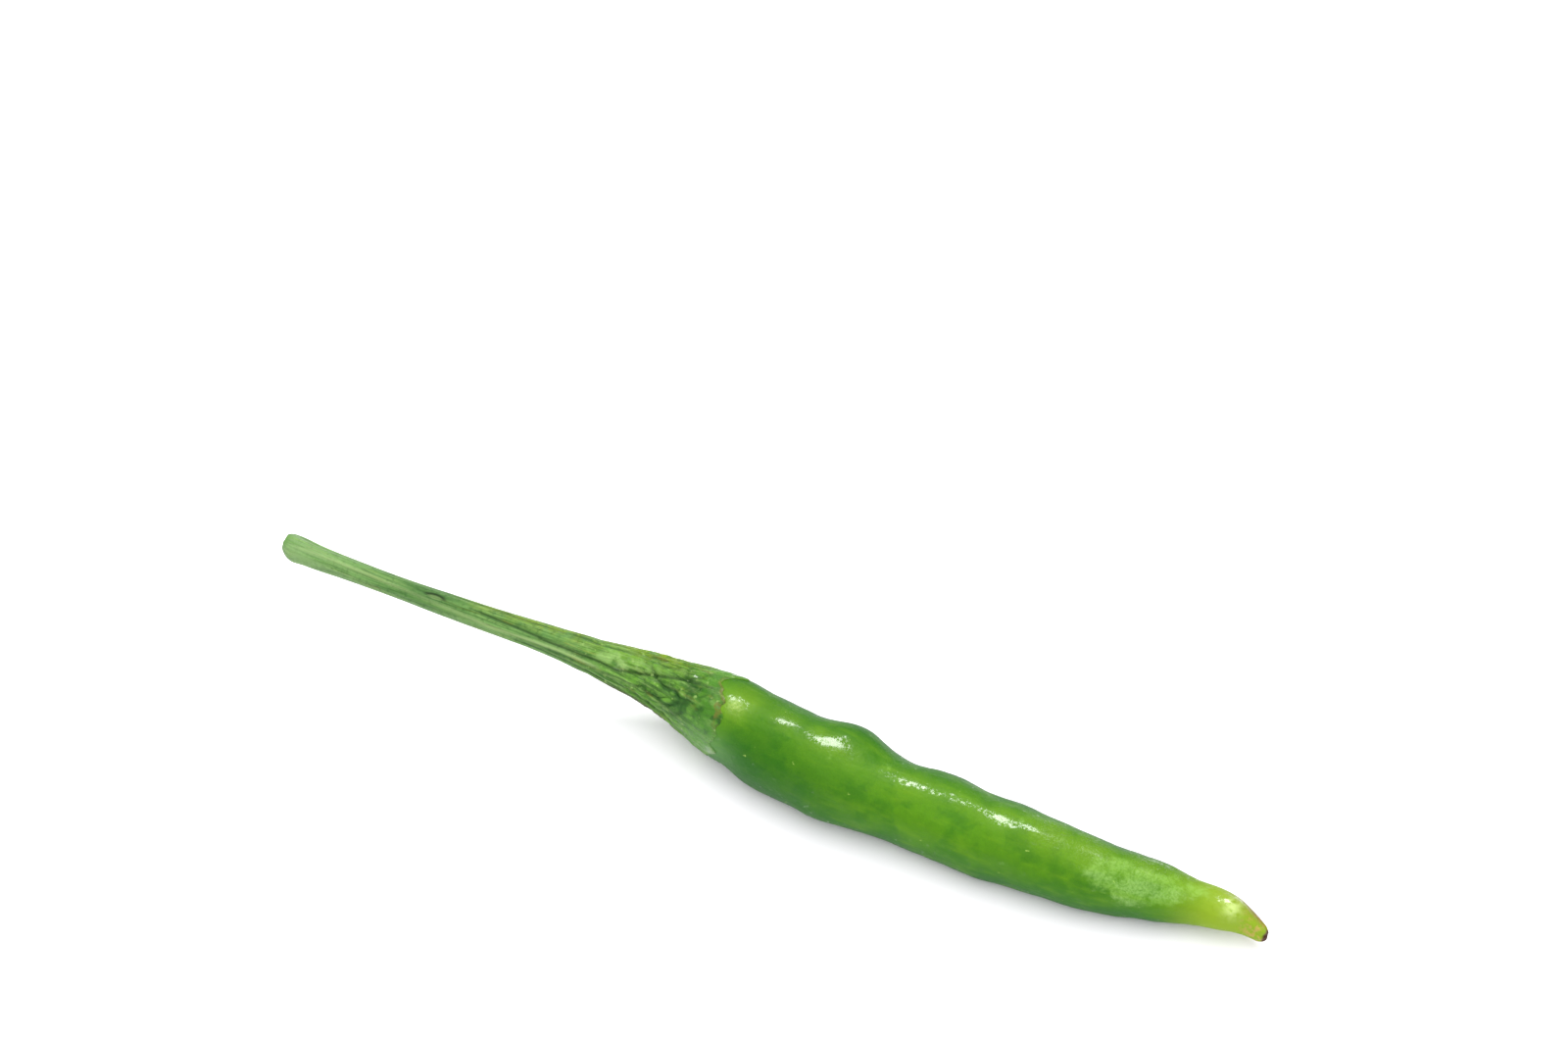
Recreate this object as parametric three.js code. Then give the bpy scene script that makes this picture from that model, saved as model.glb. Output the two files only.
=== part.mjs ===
// A green chilli pepper, as picked, lying on its side: a plump tapering pod, a ribbed calyx that cups the
// pod's shoulder, and a long stem that stands clear of the surface.
// Millimetres, +Z up, +X from the stem towards the pod's tip. The origin is under the middle of the whole
// chilli, on the surface that it lies on.
//
// Each piece is turned on a lathe round a straight axis, given its relief, and then bent to the spine: the
// curved middle line that runs through all three pieces. "along" is the distance from the calyx's rim, positive
// towards the tip. "around" is the angle about the spine from its top, positive towards -Y, in degrees.

import * as THREE from "three";

// Lengths along X
const POD_LENGTH = 60; // from the calyx's rim to the tip
const CALYX_LENGTH = 15; // from the top of the stem to the rim
const STEM_LENGTH = 33;
const SHOULDER_DEPTH = 3.2; // how far the pod's domed shoulder reaches into the calyx

// Radii and walls
const POD_RADIUS = 4.85; // at the pod's thickest
const TIP_NOSE = 1.1; // length of the tip's rounding
const STEM_TOP_RADIUS = 1.6;
const STEM_WAIST_RADIUS = 0.9;
const STEM_KNUCKLE_RADIUS = 1.2; // the swelling where the stem broke from the plant
const SCAR_SHARE = 0.7; // how much of the stem's end the scar takes up
const SCAR_DEPTH = 0.25; // how far the scar is dished
const RIM_WALL = 0.3; // thickness of the calyx at its rim
const CLEARANCE = 0.3; // between neighbouring pieces

// How the chilli lies
const RESTING_FLAT_DEPTH = 0.2; // how far the belly is pressed flat where it rests
const SHOULDER_RISE = 1.1; // height of the belly above the surface at the rim
const TIP_RISE = 1.3; // and at the tip
const STEM_RISE = 5.9; // how much higher the stem's end is than the middle of the rim

// Relief
const RIB_COUNT = 5; // ribs of the calyx and angles of the stem
const CALYX_RIB = 0.16; // height of a rib above the hollows beside it
const STEM_RIB = 0.08;
const RIB_FADE = 4; // how far from the rim the ribs start to die out
const TOOTH_COUNT = 5; // points along the calyx's rim
const TOOTH_LENGTH = 0.8;
const TOOTH_REACH = 3; // how far back from the rim a tooth starts
const RELIEF_FADE = 3; // how far from the rim the pod's swellings reach their full height

// Mesh fineness: parts around, and steps along
const POD_SIDES = 36;
const CALYX_SIDES = 40;
const STEM_SIDES = 20;
const POD_STEPS = 58;
const CALYX_STEPS = 20;
const STEM_STEPS = 26;
const DOME_STEPS = 6;
const SPINE_STEP = 0.75; // half the stretch of spine that a section stands square to

const STALK_LENGTH = CALYX_LENGTH + STEM_LENGTH;
const UP = new THREE.Vector3(0, 0, 1);

// A smooth curve through [place, value] pairs, as a function of place.
function through(pairs) {
  const [places, values] = [0, 1].map((i) => pairs.map((pair) => pair[i]));
  const curve = new THREE.CubicInterpolant(places, values, 1, new Float64Array(1));
  return (place) => curve.evaluate(place)[0];
}

// The pod's radius as a share of its greatest, by share of its length.
const podShape = through([
  [0, 0.81],
  [0.04, 0.885],
  [0.08, 0.935],
  [0.13, 0.97],
  [0.22, 1],
  [0.35, 0.915],
  [0.5, 0.87],
  [0.6, 0.84],
  [0.7, 0.75],
  [0.8, 0.625],
  [0.88, 0.455],
  [0.91, 0.42],
  [0.94, 0.355],
  [0.97, 0.24],
  [1, 0.13],
]);

// The calyx's flare from the stem (0) to the rim (1), by share of its length.
const calyxShape = through([
  [0, 0],
  [0.25, 0.2],
  [0.4, 0.31],
  [0.6, 0.475],
  [0.8, 0.7],
  [0.92, 0.875],
  [1, 1],
]);

// The stem's radius, by share of its length from the calyx.
const stemRadius = through([
  [0, STEM_TOP_RADIUS],
  [0.08, THREE.MathUtils.lerp(STEM_TOP_RADIUS, STEM_WAIST_RADIUS, 0.3)],
  [0.3, THREE.MathUtils.lerp(STEM_TOP_RADIUS, STEM_WAIST_RADIUS, 0.68)],
  [0.78, STEM_WAIST_RADIUS],
  [0.93, STEM_KNUCKLE_RADIUS],
  [0.97, STEM_KNUCKLE_RADIUS],
  [1, STEM_KNUCKLE_RADIUS * 0.75],
]);

// Sideways sway of the spine, in millimetres, by share of the stalk's and of the pod's length from the rim.
const STALK_SWAY = [
  [1, -1.8],
  [0.8, -1.9],
  [0.55, -1.1],
  [0.3, 0.15],
  [0.15, 0.55],
];
const POD_SWAY = [
  [0, 0],
  [0.12, -1.4],
  [0.25, -2.25],
  [0.4, -2.5],
  [0.58, -2.85],
  [0.72, -2.55],
  [0.88, -1.35],
  [0.95, -1.15],
  [1, -1.7],
];
const sway = through([
  ...STALK_SWAY.map(([share, y]) => [-share * STALK_LENGTH, y]),
  ...POD_SWAY.map(([share, y]) => [share * POD_LENGTH, y]),
]);

// Height of the pod's belly above the surface, before it is pressed flat.
const belly = through([
  [0, SHOULDER_RISE],
  [0.08 * POD_LENGTH, 0.15],
  [0.14 * POD_LENGTH, -RESTING_FLAT_DEPTH],
  [0.62 * POD_LENGTH, -RESTING_FLAT_DEPTH],
  [0.82 * POD_LENGTH, 0.35],
  [0.92 * POD_LENGTH, 0.95],
  [POD_LENGTH, TIP_RISE],
]);

// The stalk's climb towards the stem's end, as a share of STEM_RISE.
const climb = through([
  [0, 0],
  [0.3, 0.3],
  [0.6, 0.65],
  [1, 1],
]);

// Soft swellings and dents of the pod, where the seeds and the folds of its wall show: share of its length,
// around, reach along and around, and height (a dent's is negative).
const SWELLINGS = [
  { at: 0.055, around: 129, reach: 1.6, spread: 45, height: -0.22 },
  { at: 0.11, around: 129, reach: 2.4, spread: 45, height: 0.14 },
  { at: 0.12, around: 5, reach: 2.4, spread: 40, height: 0.14 },
  { at: 0.18, around: -51, reach: 2.2, spread: 36, height: -0.22 },
  { at: 0.215, around: 15, reach: 2.2, spread: 34, height: 0.18 },
  { at: 0.245, around: -51, reach: 2.6, spread: 40, height: 0.34 },
  { at: 0.3, around: 75, reach: 3, spread: 40, height: 0.12 },
  { at: 0.365, around: -51, reach: 3.4, spread: 50, height: -0.36 },
  { at: 0.4, around: 10, reach: 3, spread: 34, height: 0.16 },
  { at: 0.39, around: 129, reach: 3, spread: 50, height: -0.14 },
  { at: 0.43, around: -51, reach: 3, spread: 40, height: 0.24 },
  { at: 0.5, around: 100, reach: 3.6, spread: 40, height: 0.12 },
  { at: 0.565, around: 129, reach: 2.4, spread: 40, height: -0.1 },
  { at: 0.59, around: 0, reach: 3.4, spread: 36, height: 0.13 },
  { at: 0.66, around: -100, reach: 3.6, spread: 50, height: -0.14 },
  { at: 0.7, around: 40, reach: 2.6, spread: 40, height: 0.08 },
  { at: 0.74, around: 129, reach: 2.6, spread: 40, height: 0.12 },
  { at: 0.79, around: 129, reach: 2, spread: 40, height: -0.12 },
  { at: 0.83, around: -20, reach: 2.4, spread: 40, height: 0.08 },
  { at: 0.9, around: 129, reach: 2, spread: 50, height: -0.08 },
  { at: 0.28, around: -140, reach: 4, spread: 50, height: -0.16 },
  { at: 0.5, around: -130, reach: 3, spread: 45, height: 0.14 },
  { at: 0.16, around: -120, reach: 3, spread: 45, height: 0.1 },
];

const podRadius = (along) => POD_RADIUS * podShape(along / POD_LENGTH);

// The spine's height: the pod lies on its belly, and the stalk climbs away from the pod's first radius.
function spineHeight(along) {
  if (along > 0) return podRadius(along) + belly(along);
  return podRadius(0) + SHOULDER_RISE + STEM_RISE * climb(-along / STALK_LENGTH);
}

const spinePoint = (along) => new THREE.Vector3(along, sway(along), spineHeight(along));

// A point at a distance from the spine, in the section that stands square to it.
function fromSpine(along, around, radius) {
  const forward = spinePoint(along + SPINE_STEP).sub(spinePoint(along - SPINE_STEP)).normalize();
  const side = UP.clone().cross(forward).normalize();
  const top = forward.clone().cross(side);
  const angle = THREE.MathUtils.degToRad(around);
  return spinePoint(along)
    .addScaledVector(top, radius * Math.cos(angle))
    .addScaledVector(side, -radius * Math.sin(angle));
}

const bell = (distance) => Math.exp(-distance * distance);

// The shorter way round from one angle to another.
const turn = (from, to) => THREE.MathUtils.euclideanModulo(to - from + 180, 360) - 180;

// How far the pod's skin stands out from its plain shape. The shoulder inside the calyx stays plain.
function podRelief(along, around) {
  const clear = THREE.MathUtils.smoothstep(along, 0, RELIEF_FADE);
  const heights = SWELLINGS.map(({ at, around: middle, reach, spread, height }) => {
    return height * bell((along - at * POD_LENGTH) / reach) * bell(turn(middle, around) / spread);
  });
  return clear * heights.reduce((sum, height) => sum + height, 0);
}

// How far the ribs of the calyx and the stem stand out from their plain shape.
function ribRelief(along, around) {
  const wave = 0.5 * Math.cos(THREE.MathUtils.degToRad(RIB_COUNT * around));
  const onCalyx = THREE.MathUtils.smoothstep(along, -CALYX_LENGTH, -CALYX_LENGTH / 2);
  const fade = THREE.MathUtils.smoothstep(-along, 0, RIB_FADE);
  return THREE.MathUtils.lerp(STEM_RIB, CALYX_RIB, onCalyx) * fade * wave;
}

// The reach of the calyx's teeth past its rim. They stand between the ribs, the longest on the upper side.
function tooth(along, around) {
  const point = Math.pow(0.5 - 0.5 * Math.cos(THREE.MathUtils.degToRad(TOOTH_COUNT * around)), 3);
  const uneven = 0.75 + 0.25 * Math.cos(THREE.MathUtils.degToRad(around));
  return TOOTH_LENGTH * uneven * point * THREE.MathUtils.smoothstep(along, -TOOTH_REACH, 0);
}

// Turns a profile of { radius, along } points on a lathe, then moves each vertex to its place about the
// spine. shape gets a profile point and its angle, and gives the relief and any shift along the spine.
function turnAndBend(profile, sides, shape) {
  const points = profile.map(({ radius, along }) => new THREE.Vector2(radius, along));
  const geometry = new THREE.LatheGeometry(points, sides);
  const position = geometry.getAttribute("position");
  for (let i = 0; i < position.count; i++) {
    const point = profile[i % profile.length];
    const around = (360 * Math.floor(i / profile.length)) / sides;
    const { relief, shift = 0 } = shape(point, around);
    const placed = fromSpine(point.along + shift, around, point.radius > 0 ? point.radius + relief : 0);
    placed.z = Math.max(placed.z, 0);
    position.setXYZ(i, placed.x, placed.y, placed.z);
  }
  geometry.computeVertexNormals();
  return geometry;
}

// Evenly spaced numbers from a start to an end, both included.
const steps = (start, end, count) =>
  Array.from({ length: count + 1 }, (_, i) => THREE.MathUtils.lerp(start, end, i / count));

// Profile points along a side whose radius is a function of place.
const side = (start, end, count, radiusAt) =>
  steps(start, end, count).map((along) => ({ radius: radiusAt(along), along }));

// A quarter of an ellipse from its pole on the axis out to its widest ring.
const dome = (radius, pole, base) =>
  steps(0, Math.PI / 2, DOME_STEPS).map((angle) => ({
    radius: radius * Math.sin(angle),
    along: THREE.MathUtils.lerp(base, pole, Math.cos(angle)),
  }));

function podGeometry() {
  const noseStart = POD_LENGTH - TIP_NOSE;
  const noseRadius = podRadius(noseStart);
  const profile = [
    ...dome(podRadius(0), -SHOULDER_DEPTH, 0),
    ...side(0, noseStart, POD_STEPS, podRadius).slice(1),
    ...dome(noseRadius, POD_LENGTH, noseStart).reverse().slice(1),
  ];
  return turnAndBend(profile, POD_SIDES, ({ along, radius }, around) => ({
    relief: podRelief(along, around) * Math.min(1, radius / noseRadius),
  }));
}

function calyxGeometry() {
  const neck = -CALYX_LENGTH;
  const innerRim = podRadius(0) + CLEARANCE;
  const outerRim = innerRim + RIM_WALL;
  const flare = (along) =>
    THREE.MathUtils.lerp(STEM_TOP_RADIUS, outerRim, calyxShape(1 + along / CALYX_LENGTH));
  const outside = side(neck, 0, CALYX_STEPS, flare);
  const edge = { radius: (innerRim + outerRim) / 2, along: RIM_WALL / 2 };
  const inside = dome(innerRim, -SHOULDER_DEPTH - CLEARANCE, 0).reverse();
  const profile = [{ radius: 0, along: neck }, ...outside, edge, ...inside];
  // Of the inside only the ring at the rim follows the teeth; the rest keeps its clearance to the shoulder.
  return turnAndBend(profile, CALYX_SIDES, (point, around) => {
    const toothed = !inside.includes(point) || point === inside[0];
    const shift = toothed ? tooth(point.along, around) : 0;
    const overPod = podRadius(Math.max(point.along + shift, 0)) - podRadius(0);
    const rib = outside.includes(point) ? ribRelief(point.along, around) : 0;
    return { relief: overPod + rib, shift };
  });
}

function stemGeometry() {
  const top = -CALYX_LENGTH - CLEARANCE;
  const end = -STALK_LENGTH;
  const radiusAt = (along) => stemRadius((top - along) / (top - end));
  const outside = side(end, top, STEM_STEPS, radiusAt);
  const profile = [
    { radius: 0, along: end + SCAR_DEPTH },
    { radius: radiusAt(end) * SCAR_SHARE, along: end },
    ...outside,
    { radius: 0, along: top },
  ];
  return turnAndBend(profile, STEM_SIDES, (point, around) => ({
    relief: outside.includes(point) ? ribRelief(point.along, around) : 0,
  }));
}

function piece(name, geometry, color, roughness) {
  const material = new THREE.MeshStandardMaterial({ color, roughness, metalness: 0 });
  const mesh = new THREE.Mesh(geometry, material);
  mesh.name = name;
  return mesh;
}

const pieces = new THREE.Group();
pieces.add(
  piece("pod", podGeometry(), 0x4f9a1c, 0.28),
  piece("calyx", calyxGeometry(), 0x4d7f34, 0.6),
  piece("stem", stemGeometry(), 0x6f9a4c, 0.65),
);

// The middle of the whole chilli goes over the origin, and its belly stays on the surface.
const middle = new THREE.Box3().setFromObject(pieces).getCenter(new THREE.Vector3());
pieces.position.set(-middle.x, -middle.y, 0);

const chilli = new THREE.Group();
chilli.add(pieces);
export default chilli;
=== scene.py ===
"""A fresh green chilli pepper, lying on its side.

Each piece is a fine copy of its node in the frame. The copies get their folds, wrinkles and scars by moves of
their vertices along the skin's normals, worked out in millimetres in straightened places: how far along the
chilli's middle line a point lies past the calyx's rim (negative on the calyx and the stem), and at what angle
about that line, from its top, positive towards -Y.
"""

import math

import bmesh
import bpy
import numpy as np
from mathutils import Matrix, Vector, noise
from mathutils.bvhtree import BVHTree


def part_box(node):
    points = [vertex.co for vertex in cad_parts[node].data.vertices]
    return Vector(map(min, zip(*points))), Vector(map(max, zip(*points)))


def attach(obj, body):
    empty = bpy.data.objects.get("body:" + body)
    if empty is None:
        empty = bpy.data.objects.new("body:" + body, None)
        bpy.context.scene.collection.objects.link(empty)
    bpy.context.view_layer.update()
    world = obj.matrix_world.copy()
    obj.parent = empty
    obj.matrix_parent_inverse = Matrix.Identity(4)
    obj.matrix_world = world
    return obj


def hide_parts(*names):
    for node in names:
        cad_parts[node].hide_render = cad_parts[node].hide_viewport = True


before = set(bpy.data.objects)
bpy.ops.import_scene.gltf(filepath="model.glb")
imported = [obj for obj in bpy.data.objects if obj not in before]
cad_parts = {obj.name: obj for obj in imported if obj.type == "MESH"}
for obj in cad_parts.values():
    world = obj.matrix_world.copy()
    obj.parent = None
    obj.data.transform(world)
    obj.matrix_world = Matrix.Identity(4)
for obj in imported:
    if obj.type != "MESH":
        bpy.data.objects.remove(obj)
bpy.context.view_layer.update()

MM = 0.001

# ---------------------------------------------------------------------------------------------- camera

CAMERA_AZIMUTH = math.radians(24.1)
CAMERA_ELEVATION = math.radians(48)
CAMERA_TARGET = Vector((-12.32, 32.03, 0)) * MM
CAMERA_DISTANCE = 466 * MM
CAMERA_LENS = 100
CAMERA_SENSOR = 36


def make_camera():
    """A long lens that looks down on the chilli from the side of its tip."""
    lens = bpy.data.cameras.new("camera")
    lens.lens = CAMERA_LENS
    lens.sensor_width = CAMERA_SENSOR
    camera = bpy.data.objects.new("camera", lens)
    bpy.context.scene.collection.objects.link(camera)
    flat = math.cos(CAMERA_ELEVATION)
    back = Vector((
        math.sin(CAMERA_AZIMUTH) * flat,
        -math.cos(CAMERA_AZIMUTH) * flat,
        math.sin(CAMERA_ELEVATION),
    ))
    camera.location = CAMERA_TARGET + back * CAMERA_DISTANCE
    camera.rotation_euler = (-back).to_track_quat("-Z", "Y").to_euler()
    bpy.context.scene.camera = camera


# ------------------------------------------------------------------------------------- the middle line

POD_LENGTH = 60
CALYX_LENGTH = 15
STEM_LENGTH = 33
STALK_LENGTH = CALYX_LENGTH + STEM_LENGTH
POD_RADIUS = 4.85
RIM_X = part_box("pod")[1].x / MM - POD_LENGTH

STATION_GAP = 1.0
END_MARGIN = 0.4
SMOOTHING = (0.1, 0.2, 0.4, 0.2, 0.1)
LINE_OVERRUN = 6
DIRECTION_REACH = 1.5
STRAIGHTENING_ROUNDS = 5
LEAST_RADIUS = 0.01


def section_centre(node, x):
    """The middle of the section that a plane square to X cuts through a CAD node, in millimetres."""
    work = bmesh.new()
    work.from_mesh(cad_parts[node].data)
    everything = work.verts[:] + work.edges[:] + work.faces[:]
    cut = bmesh.ops.bisect_plane(work, geom=everything, plane_co=(x * MM, 0, 0), plane_no=(1, 0, 0))
    ring = np.array([v.co for v in cut["geom_cut"] if isinstance(v, bmesh.types.BMVert)]) / MM
    work.free()
    return (ring.min(0) + ring.max(0)) / 2


def measure_middle_line():
    """Points on the chilli's middle line from the stem's end to the tip, a station gap apart in X."""
    centres = []
    ends = {"stem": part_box("calyx")[0].x / MM, "calyx": RIM_X, "pod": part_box("pod")[1].x / MM}
    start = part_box("stem")[0].x / MM
    for node, end in ends.items():
        count = max(2, round((end - start) / STATION_GAP))
        for x in np.linspace(start + END_MARGIN, end - END_MARGIN, count):
            centres.append([x, *section_centre(node, x)[1:]])
        start = end
    line = np.array(centres)
    padded = np.vstack([line[:1], line[:1], line, line[-1:], line[-1:]])
    smooth = sum(share * padded[i:i + len(line)] for i, share in enumerate(SMOOTHING))
    smooth[:, 0] = line[:, 0]
    before = smooth[0] + (smooth[0] - smooth[3]) * LINE_OVERRUN / (smooth[3, 0] - smooth[0, 0])
    after = smooth[-1] + (smooth[-1] - smooth[-4]) * LINE_OVERRUN / (smooth[-1, 0] - smooth[-4, 0])
    return np.vstack([before, smooth, after])


middle_line = measure_middle_line()


def line_at(x):
    return np.column_stack([x] + [np.interp(x, middle_line[:, 0], middle_line[:, i]) for i in (1, 2)])


def direction_at(x):
    """The middle line's direction at each X, towards the tip."""
    ahead = line_at(x + DIRECTION_REACH) - line_at(x - DIRECTION_REACH)
    return ahead / np.linalg.norm(ahead, axis=1)[:, None]


def straighten(points):
    """Each point's distance along the middle line past the rim, angle about the line and distance from it."""
    x = points[:, 0].copy()
    for _ in range(STRAIGHTENING_ROUNDS):
        forward = direction_at(x)
        x += ((points - line_at(x)) * forward).sum(1) * forward[:, 0]
    forward = direction_at(x)
    side = np.cross([0.0, 0.0, 1.0], forward)
    side /= np.linalg.norm(side, axis=1)[:, None]
    top = np.cross(forward, side)
    out = points - line_at(x)
    up = (out * top).sum(1)
    left = (out * side).sum(1)
    return x - RIM_X, np.arctan2(-left, up), np.hypot(up, left)


# --------------------------------------------------------------------------------------- shared shaping

MERGE_DISTANCE = 1e-6
PAIRING_ANGLE = math.radians(40)
PAIRING_SHAPE = math.radians(80)
SHARP_ANGLE = math.radians(55)

# How far, in mm, an edge stands above the skin that it lies on, and how far its inner side is let into it.
LEAST_LIP = 0.05
NECK_LIP = 0.015
BURIED = 0.08

# Laying one skin on another: how squarely its outer side faces out, and what is too little to move.
OUTER_SIDE = 0.2
LEAST_SHARE = 0.001
LEAST_MOVE = 1e-4


def smoothstep(start, end, values):
    share = np.clip((values - start) / (end - start), 0, 1)
    return share * share * (3 - 2 * share)


def bell(distance):
    return np.exp(-distance * distance)


def turn(angle, middle):
    """The shorter way round from a middle angle in degrees, in radians."""
    return (angle - np.radians(middle) + math.pi) % (2 * math.pi) - math.pi


def spot(along, angle, place, length, middle, spread):
    """A soft patch of skin: 1 in its middle, falling away over a length in mm and a spread in degrees."""
    return bell(np.hypot((along - place) / length, turn(angle, middle) / math.radians(spread)))


def bumps(along, angle, places):
    """The height in mm of a table's bumps: their height, place, length, angle and spread."""
    return sum(height * spot(along, angle, *where) for height, *where in places)


def wander(along, angle, stretch, spread, seed):
    """Smooth noise from -1 to 1: lumps stretch millimetres long, and spread to the circle's radius wide."""
    places = np.column_stack([along / stretch, np.cos(angle) * spread, np.sin(angle) * spread])
    places += seed * np.array([3.7, 1.9, 5.3])
    return np.array([noise.noise(Vector(place)) for place in places])


def creases(along, angle, stretch, spread, seed):
    """Rounded ridges with narrow folds between them, from 0 in the folds to 1 on the ridges."""
    return np.clip(1.6 * np.abs(wander(along, angle, stretch, spread, seed)), 0, 1) ** 0.6


def line_share(along, angle, radius, route, width):
    """How near each point is to a line drawn lengthwise on the skin, which fades at both its ends."""
    stations, angles = zip(*route)
    off = turn(angle, np.interp(along, stations, angles)) * radius
    first, last = stations[0], stations[-1]
    drawn = smoothstep(first, first + 3, along) * smoothstep(last, last - 2, along)
    return drawn * bell(off / width)


def paired_copy(node, sharp_edges=0.8):
    """A CAD node's mesh, its corners merged, its triangles joined in pairs and its sharp edges creased."""
    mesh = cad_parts[node].data.copy()
    mesh.name = node + "_skin"
    mesh.materials.clear()
    work = bmesh.new()
    work.from_mesh(mesh)
    bmesh.ops.remove_doubles(work, verts=work.verts, dist=MERGE_DISTANCE)
    bmesh.ops.join_triangles(
        work,
        faces=work.faces,
        angle_face_threshold=PAIRING_ANGLE,
        angle_shape_threshold=PAIRING_SHAPE,
    )
    crease = work.edges.layers.float.new("crease_edge")
    for edge in work.edges:
        if edge.is_manifold and edge.calc_face_angle() > SHARP_ANGLE:
            edge[crease] = sharp_edges
    work.to_mesh(mesh)
    work.free()
    return mesh


def points_of(mesh):
    flat = np.empty(len(mesh.vertices) * 3)
    mesh.vertices.foreach_get("co", flat)
    return flat.reshape(-1, 3) / MM


def normals_of(mesh):
    flat = np.empty(len(mesh.vertices) * 3)
    mesh.vertices.foreach_get("normal", flat)
    return flat.reshape(-1, 3)


def place_points(mesh, points):
    """Sets the vertices, in millimetres. Nothing sinks into the surface that the chilli lies on."""
    lifted = points.copy()
    lifted[:, 2] = np.maximum(lifted[:, 2], 0)
    mesh.vertices.foreach_set("co", (lifted * MM).ravel())
    mesh.update()


def facing_out(points, normals, along):
    """How squarely each normal points away from the middle line, from -1 to 1."""
    out = points - line_at(along + RIM_X)
    return (out * normals).sum(1) / np.maximum(np.linalg.norm(out, axis=1), LEAST_RADIUS)


def settle(points, outward, neighbour, share, lip, clear, least_lip):
    """Lays the shared part of a skin on its neighbour, its outer side a lip above, its inner side let in.

    Outer points that are chosen as clear stay above the neighbour, whatever their wrinkles do.
    """
    work = bmesh.new()
    work.from_mesh(neighbour.data)
    surface = BVHTree.FromBMesh(work)
    work.free()
    settled = points.copy()
    for index in np.flatnonzero((share > LEAST_SHARE) | clear):
        found, up, _, _ = surface.find_nearest(Vector(points[index] * MM))
        place, up = np.array(found) / MM, np.array(up)
        now = (points[index] - place) @ up
        wanted = (lip[index] if outward[index] > 0 else BURIED) * outward[index]
        height = now + (wanted - now) * share[index]
        if outward[index] > OUTER_SIDE:
            height = max(height, least_lip)
        if abs(height - now) > LEAST_MOVE:
            settled[index] = place + up * height
    return settled


def subdivided(name, mesh, levels):
    """An object whose mesh is the given one, subdivided and shaded smooth."""
    cage = bpy.data.objects.new(name + "_cage", mesh)
    bpy.context.scene.collection.objects.link(cage)
    finer = cage.modifiers.new("finer", "SUBSURF")
    finer.levels = finer.render_levels = levels
    seen = cage.evaluated_get(bpy.context.evaluated_depsgraph_get())
    piece = bpy.data.objects.new(name, bpy.data.meshes.new_from_object(seen))
    bpy.data.objects.remove(cage)
    bpy.context.scene.collection.objects.link(piece)
    piece.data.shade_smooth()
    return piece


def keep_places(piece, along, angle, marks):
    """Stores the straightened places, with pod radii as the unit along, and named marks for the materials."""
    straight = piece.data.attributes.new("straight", "FLOAT_VECTOR", "POINT")
    places = np.column_stack([along / POD_RADIUS, np.cos(angle), np.sin(angle)])
    straight.data.foreach_set("vector", places.astype(np.float32).ravel())
    for name, values in marks.items():
        mark = piece.data.attributes.new(name, "FLOAT", "POINT")
        mark.data.foreach_set("value", np.clip(values, 0, 1).astype(np.float32))


def finish_piece(piece, node, material):
    """Gives a piece its material, hides the CAD node that it copies, and hangs the piece on the root body."""
    piece.data.materials.clear()
    piece.data.materials.append(material)
    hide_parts(node)
    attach(piece, "root")


# -------------------------------------------------------------------------------------------------- pod

POD_LEVELS = 2
SWELL = 0.27

# Beads of water that lie on the crest: mm past the rim, degrees from the top, length in mm, spread, share.
WET_PATCHES = (
    (2.6, 15, 0.8, 10, 1.0),
    (8.4, -3, 1.0, 8, 0.66),
    (13.6, 2, 1.6, 9, 0.8),
    (22.6, 6, 2.2, 10, 0.5),
    (27.0, 6, 1.6, 9, 0.36),
    (32.5, 5, 2.4, 11, 0.56),
    (37.4, 3, 2.0, 15, 1.0),
    (41.3, 2, 1.7, 16, 1.0),
    (48.0, -4, 2.0, 18, 0.9),
    (55.9, 8, 0.9, 24, 1.0),
)

# Bumps and a hollow in the sides: height in mm, mm past the rim, length in mm, degrees from the top, spread.
SIDE_BUMPS = (
    (0.22, 9.5, 3.2, -51, 36),
    (0.62, 15.6, 2.9, -51, 36),
    (0.24, 23.2, 2.6, -51, 34),
    (-0.2, 20.0, 5.0, 129, 36),
    (0.34, 56.0, 1.15, 12, 46),
)


def pod_swelling(along, angle, radius, lumps):
    """How far the fruit's skin moves outwards, in mm: its rise to the calyx, its waves, folds and bumps."""
    soft = wander(along, angle, 6, 0.9, 1)
    dimples = wander(along, angle, 1.5, 3.0, 4)
    folds = wander(along, angle, 14, 3.2, 5)
    open_skin = smoothstep(0, 3, along)
    move = SWELL * smoothstep(4.5, 1, along) * smoothstep(-3, -0.5, along)
    move += open_skin * (0.16 * soft + 0.15 * lumps + 0.04 * dimples)
    move += 0.1 * folds * smoothstep(9, 1.5, along) * open_skin
    move += bumps(along, angle, SIDE_BUMPS)
    return move * smoothstep(0, 0.6, radius)


def near_beads(along, angle, size):
    """How near each point is to a bead of water, from 0 to 1, where a size of 1 is the bead itself."""
    beads = []
    for place, middle, length, spread, share in WET_PATCHES:
        beads.append(share * spot(along, angle, place, size * length, middle, size * spread))
    return np.max(beads, axis=0)


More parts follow.
